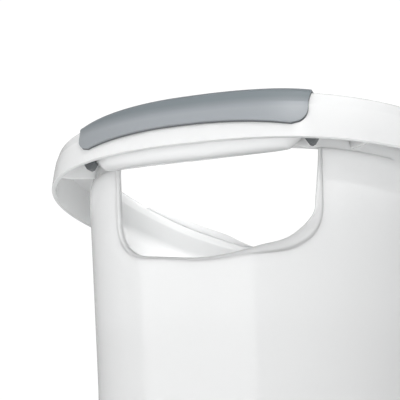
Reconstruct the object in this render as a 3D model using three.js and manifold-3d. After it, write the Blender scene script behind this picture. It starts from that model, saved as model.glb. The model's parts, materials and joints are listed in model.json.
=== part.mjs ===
// Pedal trash can, millimetres, +Z up. The pedal is at -Y, the lid hinge at +Y, a hand-hole at each X end.
// The lid stands in its parked open position, with the pedal down and the lift rod up.
import * as THREE from 'three';
import { mergeVertices } from 'three/addons/utils/BufferGeometryUtils.js';
import Module from 'manifold-3d';

const wasm = await Module();
wasm.setup();

// Driving dimensions
const HALF_LENGTH = 242;        // centre to the rim's outer edge along X
const HALF_WIDTH = 148;         // centre to the rim's outer edge along Y
const SQUARENESS = 2.5;         // superellipse exponent of the plan outline
const RIM_TOP = 640;
const SKIRT_DEPTH = 24.5;       // how far the rim's outer skirt hangs down
const WALL = 2.5;
const NECK_INSET = 25;          // rim edge to the wall's outer face, just under the rim
const SHOULDER_INSET = 21;      // the same at the widest place below the neck
const SHOULDER_TOP = RIM_TOP - 9;
const SHOULDER_BOTTOM = RIM_TOP - 25;
const WAIST = 490;              // height where the steep upper taper ends
const WAIST_INSET = 30.7;
const FOOT_INSET = 52.6;        // rim edge to the wall at its lower edge
const WALL_BOTTOM = 3;
const FLOOR_UNDERSIDE = 49;
const FLOOR_TOP = 52;
const GAP = 0.35;               // clearance between touching pieces
const SEGMENTS = 64;            // round the plan outline

// Handles
const HOLE_CENTRE = 2;
const HOLE_HALF_WIDTH = 58.5;
const HOLE_TOP = RIM_TOP - 23;
const HOLE_DEPTH = 58;
const HOLE_CORNER = 17;
const GRIP_CENTRE = -4.5;       // the grips sit a little nearer the pedal than the holes
const GRIP_HALF_WIDTH = 66;
const GRIP_DEPTH = 17.5;        // rim top to the grip's lower edge
const GRIP_CORNER = 7;
const GRIP_THICKNESS = 2.3;
const PRONG_HALF_SPACING = 64.5;
const PRONGS_Y = [GRIP_CENTRE - PRONG_HALF_SPACING, GRIP_CENTRE + PRONG_HALF_SPACING];
const PRONG_INSET = 9;
const PRONG_DEPTH = 5.4;        // across the rim
const END_RIBS_Y = [-101.5, 89.5];
const REAR_RIB_X = 100;
const REST_CENTRE = -6;
const REST_DEPTH = 32;          // rim top to the finger rest's lowest line

// Lid and its hinge
const HINGE_Y = 127;
const HINGE_Z = RIM_TOP + 12;
const HINGE_X = 50;
const PIN_RADIUS = 2.5;
const LID_OPEN = 97;            // degrees from closed to parked
const LID_EDGE_INSET = 16;
const LID_REAR = 119;           // the lid's straight rear edge
const LID_BOTTOM = RIM_TOP + 3.6;
const BUMPER_X = 120;
const CRANK_RADIUS = 20;
const CRANK_ANGLE = LID_OPEN / 2;

// Pedal linkage
const PIVOT_Y = -30;
const PIVOT_Z = 25;
const LEVER_TILT = 7.8;         // degrees, rear arm up while the pedal is down
const LEVER_THICKNESS = 4;
const ROD_FOOT_Y = 82;
const ROD_RADIUS = 2.5;
const ROD_SLANT = 0.0529;       // Y gained per unit of Z
const FOOT_RADIUS = 4;
const PEDAL_REACH = 158.13;     // centre to the pedal's front edge, level with the parked lid's back
const PEDAL_FRONT = (PEDAL_REACH + PIVOT_Y) / Math.cos(THREE.MathUtils.degToRad(LEVER_TILT))
  - (LEVER_THICKNESS / 2) * Math.tan(THREE.MathUtils.degToRad(LEVER_TILT)); // along the lever

// Inner bucket and bail
const BUCKET_Y = -7;
const BUCKET_TOP = 535;
const BUCKET_FOOT_STEP = 18;    // how much narrower the bucket is at its foot
const BUCKET_HALF_LENGTH = 195;
const BUCKET_HALF_WIDTH = 95;
const BAIL_Z = 524;
const BAIL_HALF_LENGTH = 203;
const BAIL_REACH = 103.5;
const BAIL_RADIUS = 2;

const group = new THREE.Group();

function material(color, roughness, metalness = 0) {
  return new THREE.MeshStandardMaterial({ color, roughness, metalness });
}

const WHITE = material(0xf2f2f0, 0.3);
const GREY = material(0x7f868a, 0.6);
const STEEL = material(0xb8babc, 0.35, 1);
const RUBBER = material(0x2b2c2e, 0.9);
const DARK = material(0x55595c, 0.5);

// Solids

function toSolid(geometry) {
  const bare = geometry.index ? geometry.clone() : geometry;
  bare.deleteAttribute('normal');
  bare.deleteAttribute('uv');
  const merged = mergeVertices(bare, 1e-3);
  const index = merged.index.array;
  const triangles = [];
  for (let i = 0; i < index.length; i += 3) {
    const [a, b, c] = [index[i], index[i + 1], index[i + 2]];
    if (a !== b && b !== c && c !== a) triangles.push(a, b, c);
  }
  return new wasm.Manifold(new wasm.Mesh({
    numProp: 3,
    vertProperties: new Float32Array(merged.attributes.position.array),
    triVerts: new Uint32Array(triangles),
  }));
}

function toGeometry(solid) {
  const mesh = solid.getMesh();
  const geometry = new THREE.BufferGeometry();
  geometry.setAttribute('position', new THREE.BufferAttribute(mesh.vertProperties, 3));
  geometry.setIndex(new THREE.BufferAttribute(mesh.triVerts, 1));
  geometry.computeVertexNormals();
  return geometry;
}

function join(first, ...others) {
  return others.reduce((sum, solid) => sum.add(solid), first);
}

function cut(first, ...others) {
  return others.reduce((rest, solid) => rest.subtract(solid), first);
}

function addPiece(name, solid, look, parent = group) {
  const mesh = new THREE.Mesh(toGeometry(solid), look);
  mesh.name = name;
  parent.add(mesh);
}

function box(x0, x1, y0, y1, z0, z1) {
  const geometry = new THREE.BoxGeometry(x1 - x0, y1 - y0, z1 - z0);
  geometry.translate((x0 + x1) / 2, (y0 + y1) / 2, (z0 + z1) / 2);
  return toSolid(geometry);
}

// A cylinder along Z from z0 to z1.
function post(radius, x, y, z0, z1, sides = 14) {
  const geometry = new THREE.CylinderGeometry(radius, radius, z1 - z0, sides);
  geometry.rotateX(Math.PI / 2);
  geometry.translate(x, y, (z0 + z1) / 2);
  return toSolid(geometry);
}

// A cylinder along X from x0 to x1.
function pin(radius, x0, x1, y, z, sides = 16) {
  const geometry = new THREE.CylinderGeometry(radius, radius, x1 - x0, sides);
  geometry.rotateZ(Math.PI / 2);
  geometry.translate((x0 + x1) / 2, y, z);
  return toSolid(geometry);
}

// A flat plate whose outline is drawn in Y and Z, between x0 and x1.
function plateYZ(points, x0, x1) {
  const shape = new THREE.Shape(points.map(([y, z]) => new THREE.Vector2(y, z)));
  return extrudeAlongX(shape, x0, x1);
}

function extrudeAlongX(shape, x0, x1) {
  const geometry = new THREE.ExtrudeGeometry(shape, { depth: x1 - x0, bevelEnabled: false, curveSegments: 6 });
  geometry.rotateX(Math.PI / 2);
  geometry.rotateZ(Math.PI / 2);
  geometry.translate(x0, 0, 0);
  return toSolid(geometry);
}

// A rectangle with rounded corners, centred on its own origin.
function roundedRectangle(width, height, radius) {
  const shape = new THREE.Shape();
  const [w, h] = [width / 2, height / 2];
  shape.absarc(w - radius, -h + radius, radius, -Math.PI / 2, 0);
  shape.absarc(w - radius, h - radius, radius, 0, Math.PI / 2);
  shape.absarc(-w + radius, h - radius, radius, Math.PI / 2, Math.PI);
  shape.absarc(-w + radius, -h + radius, radius, Math.PI, 1.5 * Math.PI);
  return shape;
}

// Plan outline

const LENGTH_EXCESS = HALF_LENGTH - HALF_WIDTH;

function roundPower(value) {
  return Math.sign(value) * Math.abs(value) ** (2 / SQUARENESS);
}

// X of the plan outline, inset from the rim's edge, at a given Y.
function outlineX(inset, y) {
  const share = Math.abs(y) / (HALF_WIDTH - inset);
  return (HALF_LENGTH - inset) * (1 - share ** SQUARENESS) ** (1 / SQUARENESS);
}

// Turns a [radius, z] profile about Z, then reshapes each ring to the plan outline. Rings inside `core` shrink evenly.
function ovalLathe(profile, excess = LENGTH_EXCESS, core = 150) {
  const points = profile.map(([radius, z]) => new THREE.Vector2(radius, z));
  const geometry = new THREE.LatheGeometry(points, SEGMENTS);
  geometry.rotateX(Math.PI / 2);
  const position = geometry.attributes.position;
  for (let i = 0; i < position.count; i += 1) {
    const radius = Math.hypot(position.getX(i), position.getY(i));
    const angle = Math.atan2(position.getY(i), position.getX(i));
    const across = Math.max(radius, core) - excess;
    const shrink = Math.min(1, radius / core);
    const along = Math.max(radius, core) * shrink;
    position.setX(i, along * roundPower(Math.cos(angle)));
    position.setY(i, across * shrink * roundPower(Math.sin(angle)));
  }
  return toSolid(geometry);
}

function insetProfile(rows) {
  return rows.map(([inset, z]) => [HALF_LENGTH - inset, z]);
}

// Inset of the wall's outer face at height z.
function wallInset(z) {
  if (z >= WAIST) {
    return THREE.MathUtils.mapLinear(z, WAIST, SHOULDER_BOTTOM, WAIST_INSET, SHOULDER_INSET);
  }
  return THREE.MathUtils.mapLinear(z, WALL_BOTTOM, WAIST, FOOT_INSET, WAIST_INSET);
}

// Body

function bodyProfile() {
  const skirtBottom = RIM_TOP - SKIRT_DEPTH;
  const floorRadius = HALF_LENGTH - wallInset(FLOOR_TOP) - WALL;
  const underFloorRadius = HALF_LENGTH - wallInset(FLOOR_UNDERSIDE) - WALL;
  const shell = insetProfile([
    [FOOT_INSET + WALL, WALL_BOTTOM],
    [FOOT_INSET, WALL_BOTTOM],
    [WAIST_INSET, WAIST],
    [SHOULDER_INSET, SHOULDER_BOTTOM],
    [SHOULDER_INSET + 0.7, SHOULDER_BOTTOM + 9],
    [NECK_INSET, SHOULDER_TOP],
    [NECK_INSET, RIM_TOP - 6],
    [NECK_INSET - 2.5, RIM_TOP - WALL],
    [6, RIM_TOP - WALL],
    [4, RIM_TOP - 5],
    [2.2, skirtBottom],
    [0, skirtBottom],
    [2, RIM_TOP - 6],
    [4, RIM_TOP - 1.6],
    [8, RIM_TOP],
    [NECK_INSET - 1, RIM_TOP],
    [NECK_INSET + WALL, RIM_TOP - 4],
    [NECK_INSET + WALL, SHOULDER_TOP],
    [SHOULDER_INSET + WALL + 0.7, SHOULDER_BOTTOM + 9],
    [SHOULDER_INSET + WALL, SHOULDER_BOTTOM],
    [WAIST_INSET + WALL, WAIST],
  ]);
  return [[0, FLOOR_UNDERSIDE], [underFloorRadius, FLOOR_UNDERSIDE], ...shell, [floorRadius, FLOOR_TOP], [0, FLOOR_TOP]];
}

// The D-shaped hand-hole: straight top, sagging bottom edge, rounded lower corners.
function handHole(side) {
  const [w, top, low, r, sag] = [HOLE_HALF_WIDTH, HOLE_TOP, HOLE_TOP - HOLE_DEPTH, HOLE_CORNER, 6];
  const corner = low + sag;
  const shape = new THREE.Shape();
  shape.moveTo(-w, top);
  shape.lineTo(-w + 2, corner + r);
  shape.quadraticCurveTo(-w + 3, corner, -w + r + 4, corner - 2);
  shape.quadraticCurveTo(0, low - 1.5, w - r - 4, corner - 2);
  shape.quadraticCurveTo(w - 3, corner, w - 2, corner + r);
  shape.lineTo(w, top);
  const near = outlineX(WAIST_INSET + WALL, w) - 8;
  const [x0, x1] = side > 0 ? [near, HALF_LENGTH - 12] : [12 - HALF_LENGTH, -near];
  return extrudeAlongX(shape, x0, x1).translate(0, HOLE_CENTRE, 0);
}

// The rolled finger rest under each handle, bent to the rim's curve.
function fingerRest(side) {
  const [centreInset, halfLength, halfHeight, halfDepth] = [15, 60, 14.5, 11];
  const geometry = new THREE.SphereGeometry(1, 20, 10);
  geometry.rotateX(Math.PI / 2);
  geometry.scale(halfDepth, halfLength, halfHeight);
  geometry.translate(0, REST_CENTRE, RIM_TOP - REST_DEPTH + halfHeight);
  const position = geometry.attributes.position;
  for (let i = 0; i < position.count; i += 1) {
    const rim = outlineX(centreInset, position.getY(i));
    position.setX(i, side * (position.getX(i) + rim));
  }
  if (side < 0) geometry.index.array.reverse();
  return toSolid(geometry);
}

// An upright gusset between the wall and the skirt, along the outline's normal at (x, y).
function gusset(x, y, angle) {
  const depth = SKIRT_DEPTH - 2;
  const geometry = new THREE.BoxGeometry(NECK_INSET - 1, 1.8, depth);
  geometry.translate(-NECK_INSET / 2 - 0.9, 0, RIM_TOP - 1 - depth / 2);
  geometry.rotateZ(angle);
  geometry.translate(x, y, 0);
  return toSolid(geometry);
}

// The outline's outward direction at Y, as an angle from +X, near the +X end.
function normalAngle(inset, y) {
  const slope = (outlineX(inset, y) / (HALF_LENGTH - inset)) ** (SQUARENESS - 1) / (HALF_LENGTH - inset);
  const cross = (Math.abs(y) / (HALF_WIDTH - inset)) ** (SQUARENESS - 1) / (HALF_WIDTH - inset);
  return Math.sign(y) * Math.atan2(cross, slope);
}

function gussets() {
  const ends = [1, -1].flatMap((side) => END_RIBS_Y.map((y) => {
    const angle = normalAngle(0, y);
    return gusset(side * outlineX(0, y), y, side > 0 ? angle : Math.PI - angle);
  }));
  const rear = [1, -1].map((side) => gusset(side * REAR_RIB_X, HALF_WIDTH - 6, Math.PI / 2));
  return [...ends, ...rear];
}

const BOSS_X = 95;
const BOSS_Y = 48;
const COVER_BOTTOM = 3.5;
const COVER_TOP = 6;
const SCREW_RADIUS = 1.5;
const CORNERS = [[1, 1], [-1, 1], [-1, -1], [1, -1]];

function rodCutter(radius, z0, z1) {
  const geometry = new THREE.CylinderGeometry(radius, radius, z1 - z0, 20);
  geometry.rotateX(Math.PI / 2);
  geometry.rotateX(-Math.atan(ROD_SLANT));
  const z = (z0 + z1) / 2;
  geometry.translate(0, rodY(z), z);
  return toSolid(geometry);
}

// Y of the lift rod's axis at height z, in the rest position.
function rodY(z) {
  return ROD_FOOT_Y + (z - FLOOR_UNDERSIDE) * ROD_SLANT;
}

// A block drawn in Y and Z, set across the rim at one of a grip's prongs.
function atProng(points, thickness, side, y) {
  const shape = new THREE.Shape(points.map(([across, z]) => new THREE.Vector2(across, z)));
  const geometry = new THREE.ExtrudeGeometry(shape, { depth: thickness, bevelEnabled: false });
  geometry.rotateX(Math.PI / 2);
  geometry.rotateZ(Math.PI / 2);
  geometry.translate(-thickness / 2, 0, 0);
  geometry.rotateZ(side * normalAngle(PRONG_INSET, y));
  geometry.translate(side * outlineX(PRONG_INSET, y), y, 0);
  return toSolid(geometry);
}

function prongSlot(side, y) {
  const [w, z] = [3.3, RIM_TOP];
  return atProng([[-w, z - 8], [w, z - 8], [w, z + 4], [-w, z + 4]], PRONG_DEPTH + 2 * GAP, side, y);
}

function guideHole(z) {
  const geometry = new THREE.CylinderGeometry(SCREW_RADIUS + GAP, SCREW_RADIUS + GAP, 30, 16);
  geometry.translate(GUIDE_SCREW_X, HALF_WIDTH - wallInset(z), z);
  return toSolid(geometry);
}

const GUIDE_HEIGHTS = { upper: 545, lower: 130 };
const GUIDE_SCREW_X = 9;
const HINGE_SCREW_X = 6.5;
const HINGE_SCREW_Y = HINGE_Y + 9.5;
const LEVER_TAIL = 118;         // pivot to the lever's rear tip

function body() {
  const shell = ovalLathe(bodyProfile());
  const bosses = CORNERS.map(([sx, sy]) => post(4.5, sx * BOSS_X, sy * BOSS_Y, COVER_TOP + GAP, FLOOR_UNDERSIDE + 1));
  const pilots = CORNERS.map(([sx, sy]) => post(SCREW_RADIUS + GAP, sx * BOSS_X, sy * BOSS_Y, 0, 26));
  const slots = [1, -1].flatMap((side) => PRONGS_Y.map((y) => prongSlot(side, y)));
  const hinges = [1, -1].flatMap((side) => [-1, 1].map((end) => {
    const x = side * HINGE_X + end * HINGE_SCREW_X;
    return post(SCREW_RADIUS + GAP, x, HINGE_SCREW_Y, RIM_TOP - 9, RIM_TOP + 1);
  }));
  const opening = box(-24, 24, -HALF_WIDTH, -60, 0, 42);
  const solid = join(shell, ...bosses, ...gussets());
  const holed = cut(solid, handHole(1), handHole(-1), opening, ...pilots, ...slots, ...hinges,
    rodCutter(ROD_RADIUS + 1, FLOOR_UNDERSIDE - 3, FLOOR_TOP + 3), ...Object.values(GUIDE_HEIGHTS).map(guideHole));
  return join(holed, fingerRest(1), fingerRest(-1));
}

// Soft grips, snapped over the rim

function gripProfile() {
  const t = GRIP_THICKNESS;
  const lower = RIM_TOP - GRIP_DEPTH - 3;
  return insetProfile([
    [0.2, lower],
    [0.2 - t, lower],
    [1.4 - t, RIM_TOP - 6],
    [3.2 - 0.8 * t, RIM_TOP - 1.4 + 0.6 * t],
    [7.8, RIM_TOP + GAP + t],
    [NECK_INSET - 3, RIM_TOP + GAP + t],
    [NECK_INSET - 1, RIM_TOP + GAP + t - 1],
    [NECK_INSET - 1, RIM_TOP + GAP],
    [7.9, RIM_TOP + GAP],
    [3.7, RIM_TOP - 1.3],
    [1.6, RIM_TOP - 6],
    [0.2, lower],
  ]);
}

function prong(side, y) {
  const [stem, barb, top] = [2.7, 3.4, RIM_TOP + 1];
  const [shoulder, tip] = [RIM_TOP - 20, RIM_TOP - 28];
  const arrow = [[-stem, top], [-stem, shoulder], [-barb, shoulder], [0, tip], [barb, shoulder], [stem, shoulder],
    [stem, top]];
  return atProng(arrow, PRONG_DEPTH, side, y);
}

function grip(side) {
  const height = 40;
  const outline = roundedRectangle(2 * GRIP_HALF_WIDTH, height, GRIP_CORNER);
  const [x0, x1] = side > 0 ? [100, 280] : [-280, -100];
  const window = extrudeAlongX(outline, x0, x1).translate(0, GRIP_CENTRE, RIM_TOP - GRIP_DEPTH + height / 2);
  return join(ovalLathe(gripProfile()).intersect(window), ...PRONGS_Y.map((y) => prong(side, y)));
}

addPiece('body_shell', body(), WHITE);
addPiece('grip_right', grip(1), GREY);
addPiece('grip_left', grip(-1), GREY);

// Base

function baseCover() {
  const radius = HALF_LENGTH - FOOT_INSET - WALL - GAP;
  const plate = ovalLathe([[0, COVER_BOTTOM], [radius, COVER_BOTTOM], [radius, COVER_TOP], [0, COVER_TOP]]);
  return cut(plate, ...CORNERS.map(([sx, sy]) => post(SCREW_RADIUS + GAP, sx * BOSS_X, sy * BOSS_Y, 0, 10)));
}

function baseScrew(x, y) {
  return join(post(3.6, x, y, 1.6, COVER_BOTTOM - GAP), post(SCREW_RADIUS, x, y, 2, 24));
}

function foot(x, y) {
  return toSolid(new THREE.CylinderGeometry(9.5, 8.5, COVER_BOTTOM - GAP, 28).rotateX(Math.PI / 2)
    .translate(x, y, (COVER_BOTTOM - GAP) / 2));
}

addPiece('base_cover', baseCover(), WHITE);
CORNERS.forEach(([sx, sy], i) => {
  addPiece(`base_screw_${i + 1}`, baseScrew(sx * BOSS_X, sy * BOSS_Y), STEEL);
  addPiece(`foot_${i + 1}`, foot(sx * 128, sy * 58), RUBBER);
});

// Hinge brackets, pins and screws on the rim's rear

function hingeBracket(side) {
  const [half, ear, plateTop] = [14, 4, RIM_TOP + 3];
  const x = side * HINGE_X;
  const low = RIM_TOP + GAP;
  const plate = box(x - half, x + half, HINGE_Y - 7, HINGE_Y + 16, low, plateTop);
  const ears = [-1, 1].map((end) => {
    const [x0, x1] = end > 0 ? [x + half - ear, x + half] : [x - half, x - half + ear];
    return join(box(x0, x1, HINGE_Y - 7, HINGE_Y + 7, low, HINGE_Z), pin(7, x0, x1, HINGE_Y, HINGE_Z, 20));
  });
  const stop = box(x - half, x + half, HINGE_Y + 13, HINGE_Y + 16, low, HINGE_Z + 24);
  const webs = ears.map((_, i) => {
    const x0 = i ? x + half - ear : x - half;
    return plateYZ([[HINGE_Y, low], [HINGE_Y + 14, low], [HINGE_Y + 14, HINGE_Z + 18], [HINGE_Y + 6, HINGE_Z]], x0, x0 + ear);
  });
  const holes = [-1, 1].map((end) => post(SCREW_RADIUS + GAP, x + (end * HINGE_SCREW_X), HINGE_SCREW_Y, 630, 650));
  const bore = pin(PIN_RADIUS + GAP, x - 20, x + 20, HINGE_Y, HINGE_Z, 16);
  return cut(join(plate, stop, ...ears, ...webs), bore, ...holes);
}

function hingeScrew(x) {
  const top = RIM_TOP + 3 + GAP;
  return join(post(2.6, x, HINGE_SCREW_Y, top, top + 1.8), post(SCREW_RADIUS, x, HINGE_SCREW_Y, RIM_TOP - 7, top + 0.5));
}

function hingePin(side) {
  const x = side * HINGE_X;
  const head = side * 15;
  const cap = pin(4, Math.min(x + head, x + head + side * 1.6), Math.max(x + head, x + head + side * 1.6), HINGE_Y, HINGE_Z);
  return join(pin(PIN_RADIUS, x - 15.5, x + 15.5, HINGE_Y, HINGE_Z), cap);
}

let screwNumber = 1;
for (const [label, side] of [['right', 1], ['left', -1]]) {
  addPiece(`hinge_bracket_${label}`, hingeBracket(side), WHITE);
  addPiece(`hinge_pin_${label}`, hingePin(side), STEEL);
  for (const end of [-1, 1]) {
    addPiece(`hinge_screw_${screwNumber}`, hingeScrew(side * HINGE_X + end * HINGE_SCREW_X), STEEL);
    screwNumber += 1;
  }
}

// Lid, modelled closed and then turned about the hinge to its parked position

const lidGroup = new THREE.Group();
lidGroup.position.set(0, HINGE_Y, HINGE_Z);
lidGroup.rotation.x = THREE.MathUtils.degToRad(-LID_OPEN);
group.add(lidGroup);
const crankPin = {
  y: HINGE_Y - CRANK_RADIUS * Math.cos(THREE.MathUtils.degToRad(CRANK_ANGLE)),
  z: HINGE_Z - CRANK_RADIUS * Math.sin(THREE.MathUtils.degToRad(CRANK_ANGLE)),
};

function lidShell() {
  const edge = HALF_LENGTH - LID_EDGE_INSET;
  const top = RIM_TOP + 24;
  return ovalLathe([
    [0, top - WALL], [130, top - 3.6 - WALL], [196, top - 9 - WALL], [edge - 9, LID_BOTTOM + 4],
    [edge - 9, LID_BOTTOM], [edge, LID_BOTTOM], [edge, LID_BOTTOM + 4.5], [edge - 3, LID_BOTTOM + 7.5],
    [198, top - 9], [132, top - 3.6], [0, top],
  ], LENGTH_EXCESS, 130);
}

function lidKnuckle(x) {
  const half = 9.2;
  const arm = plateYZ([[HINGE_Y, HINGE_Z - 5.5], [HINGE_Y, HINGE_Z + 5.5], [LID_REAR - 14, 656], [LID_REAR - 14, 652]], x - half, x + half);
  return join(pin(5.5, x - half, x + half, HINGE_Y, HINGE_Z, 16), arm);
}

function crankLug(x0, x1) {
  const { y, z } = crankPin;
  const plate = plateYZ([[y - 4.5, z], [y + 4.5, z], [LID_REAR - 0.5, 649], [LID_REAR - 0.5, 654], [LID_REAR - 19, 656]], x0, x1);
  return join(plate, pin(4.6, x0, x1, y, z, 24));
}

function lid() {
  const rear = box(-300, 300, LID_REAR, 200, 600, 700);
  const notch = box(-8.5, 8.5, LID_REAR - 18, 200, 600, 700);
  const shell = cut(lidShell(), rear, notch);
  const solid = join(shell, lidKnuckle(HINGE_X), lidKnuckle(-HINGE_X), crankLug(8.6, 12), crankLug(-12, -8.6));
  const bores = pin(PIN_RADIUS + GAP, -80, 80, HINGE_Y, HINGE_Z, 16);
  return cut(solid, bores, pin(PIN_RADIUS + GAP, -14, 14, crankPin.y, crankPin.z, 24));
}

function inLidGroup(solid) {
  return solid.translate(0, -HINGE_Y, -HINGE_Z);
}

addPiece('lid', inLidGroup(lid()), WHITE, lidGroup);
addPiece('crank_pin', inLidGroup(pin(PIN_RADIUS, -13.5, 13.5, crankPin.y, crankPin.z)), STEEL, lidGroup);
for (const [label, side] of [['right', 1], ['left', -1]]) {
  const x = side * BUMPER_X;
  const inset = LID_EDGE_INSET + 4.5;
  const share = BUMPER_X / (HALF_LENGTH - inset);
  const y = -(HALF_WIDTH - inset) * (1 - share ** SQUARENESS) ** (1 / SQUARENESS);
  addPiece(`lid_bumper_${label}`, inLidGroup(post(3, x, y, RIM_TOP + 0.5, LID_BOTTOM - GAP)), RUBBER, lidGroup);
}

// Lift rod with its yoke and foot, up

const FOOT_Z = PIVOT_Z + (ROD_FOOT_Y - PIVOT_Y) * Math.tan(THREE.MathUtils.degToRad(LEVER_TILT))
  + LEVER_THICKNESS / 2 + FOOT_RADIUS + 0.45;
const YOKE_Z = HINGE_Z + CRANK_RADIUS * Math.sin(THREE.MathUtils.degToRad(CRANK_ANGLE));
const YOKE_BOTTOM = YOKE_Z - 7;

function yoke() {
  const [y0, y1] = [HINGE_Y - 24.6, HINGE_Y - 6.6];
  const plate = box(-3, 3, y0, y1, YOKE_BOTTOM, YOKE_Z + 6);
  const socket = post(4.5, 0, rodY(YOKE_BOTTOM), YOKE_BOTTOM - 9, YOKE_BOTTOM + 1);
  const slot = box(-5, 5, y0 + 2, y1 - 2, YOKE_Z - 3.6, YOKE_Z + 3.6);
  return cut(join(plate, socket), slot, rodCutter(ROD_RADIUS + GAP, YOKE_BOTTOM - 20, YOKE_BOTTOM - 2));
}

function rodFoot() {
  const lower = box(-9, 9, rodY(FOOT_Z) - 9, rodY(FOOT_Z) + 9, FOOT_Z - 9, FOOT_Z + 0.6);
  const ball = new THREE.SphereGeometry(FOOT_RADIUS, 16, 10).rotateX(Math.PI / 2).translate(0, rodY(FOOT_Z), FOOT_Z);
  return cut(toSolid(ball).intersect(lower), rodCutter(1.6, FOOT_Z - 1.5, FOOT_Z + 5));
}

addPiece('lift_rod', join(rodCutter(ROD_RADIUS, FOOT_Z + 1.2, YOKE_BOTTOM - 2.6),
  rodCutter(1.25, FOOT_Z - 1, FOOT_Z + 2)), STEEL);
addPiece('rod_yoke', yoke(), DARK);
addPiece('rod_foot', rodFoot(), DARK);

// Rod guides on the rear wall

function rodGuide(z) {
  const wallY = HALF_WIDTH - wallInset(z - 6) - WALL - 1.6;
  const block = box(-5.5, GUIDE_SCREW_X + 5, rodY(z) - 5.5, wallY, z - 6, z + 6);
  const screw = new THREE.CylinderGeometry(SCREW_RADIUS + GAP, SCREW_RADIUS + GAP, 60, 16).translate(GUIDE_SCREW_X, wallY, z);
  return cut(block, rodCutter(ROD_RADIUS + GAP, z - 12, z + 12), toSolid(screw));
}

function guideScrew(z) {
  const head = HALF_WIDTH - wallInset(z) + GAP + 0.4;
  const shank = new THREE.CylinderGeometry(SCREW_RADIUS, SCREW_RADIUS, 11, 16).translate(GUIDE_SCREW_X, head - 5, z);
  const cap = new THREE.CylinderGeometry(3.2, 3.2, 1.6, 20).translate(GUIDE_SCREW_X, head + 0.8, z);
  return join(toSolid(shank), toSolid(cap));
}

for (const [label, z] of Object.entries(GUIDE_HEIGHTS)) {
  addPiece(`rod_guide_${label}`, rodGuide(z), DARK);
  addPiece(`guide_screw_${label}`, guideScrew(z), STEEL);
}

// Pedal lever on its axle

const leverGroup = new THREE.Group();
leverGroup.position.set(0, PIVOT_Y, PIVOT_Z);
leverGroup.rotation.x = THREE.MathUtils.degToRad(LEVER_TILT);
group.add(leverGroup);
const PAD_BACK = 80;

function lever() {
  const half = LEVER_THICKNESS / 2;
  const shape = new THREE.Shape();
  shape.moveTo(-11, LEVER_TAIL);
  shape.lineTo(-11, 0);
  shape.lineTo(-20, -12);
  shape.lineTo(-20, 6 - PAD_BACK);
  shape.lineTo(-33, -PAD_BACK);
  shape.lineTo(-33, 8 - PEDAL_FRONT);
  shape.quadraticCurveTo(-32, -PEDAL_FRONT, -20, -PEDAL_FRONT);
  shape.lineTo(20, -PEDAL_FRONT);
  shape.quadraticCurveTo(32, -PEDAL_FRONT, 33, 8 - PEDAL_FRONT);
  shape.lineTo(33, -PAD_BACK);
  shape.lineTo(20, 6 - PAD_BACK);
  shape.lineTo(20, -12);
  shape.lineTo(11, 0);
  shape.lineTo(11, LEVER_TAIL);
  const plate = new THREE.ExtrudeGeometry(shape, { depth: LEVER_THICKNESS, bevelEnabled: false });
  plate.translate(0, 0, -half);
  const hub = pin(6, -20, 20, 0, 0, 24);
  return cut(join(toSolid(plate), hub), pin(PIN_RADIUS + GAP, -30, 30, 0, 0, 24));
}

function pedalPad() {
  const [width, length, thickness] = [56, PEDAL_FRONT - PAD_BACK - 8, 3.5];
  const shape = roundedRectangle(width, length, 7);
  const geometry = new THREE.ExtrudeGeometry(shape, { depth: thickness, bevelEnabled: false, curveSegments: 6 });
  geometry.translate(0, -(PEDAL_FRONT + PAD_BACK) / 2, LEVER_THICKNESS / 2 + GAP);
  return toSolid(geometry);
}

function axleBracket(x0, x1) {
  const plate = box(x0, x1, PIVOT_Y - 8, PIVOT_Y + 8, COVER_TOP + GAP, PIVOT_Z);
  const eye = pin(8, x0, x1, PIVOT_Y, PIVOT_Z, 28);
  const [f0, f1] = x0 > 0 ? [x0, x1 + 12] : [x0 - 12, x1];
  const flange = box(f0, f1, PIVOT_Y - 8, PIVOT_Y + 8, COVER_TOP + GAP, COVER_TOP + 3);
  const screwX = x0 > 0 ? x1 + 6 : x0 - 6;
  return cut(join(plate, eye, flange), pin(PIN_RADIUS + GAP, x0 - 2, x1 + 2, PIVOT_Y, PIVOT_Z, 24),
    post(SCREW_RADIUS + GAP, screwX, PIVOT_Y, 0, 20));
}

addPiece('pedal_lever', lever(), DARK, leverGroup);
addPiece('pedal_pad', pedalPad(), RUBBER, leverGroup);
addPiece('pedal_axle', pin(PIN_RADIUS, -29.5, 29.5, PIVOT_Y, PIVOT_Z), STEEL);
addPiece('axle_bracket_right', axleBracket(22, 26), DARK);
addPiece('axle_bracket_left', axleBracket(-26, -22), DARK);
[32, -32].forEach((x, i) => {
  const head = COVER_TOP + 3 + GAP;
  const screw = join(post(3, x, PIVOT_Y, head, head + 1.8), post(SCREW_RADIUS - 0.2, x, PIVOT_Y, COVER_TOP + GAP, head + 0.5));
  addPiece(`axle_screw_${i + 1}`, screw, STEEL);
});

// Inner bucket with its carrying bail, lying forward

const bucketGroup = new THREE.Group();
bucketGroup.position.set(0, BUCKET_Y, 0);
group.add(bucketGroup);

function bucket() {
  const [low, top] = [FLOOR_TOP + GAP, BUCKET_TOP];
  const [base, rim, wall] = [BUCKET_HALF_LENGTH - BUCKET_FOOT_STEP, BUCKET_HALF_LENGTH, 2];
  const shell = ovalLathe([
    [0, low], [base - 6, low], [base, low + 6], [rim, top - 3], [rim + 3, top - 3], [rim + 3, top], [rim - wall, top],
    [base - wall, low + 7], [base - 7, low + wall], [0, low + wall],
  ], BUCKET_HALF_LENGTH - BUCKET_HALF_WIDTH, 155);
  return cut(shell, pin(BAIL_RADIUS + GAP, -220, 220, 0, BAIL_Z, 16));
}

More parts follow.
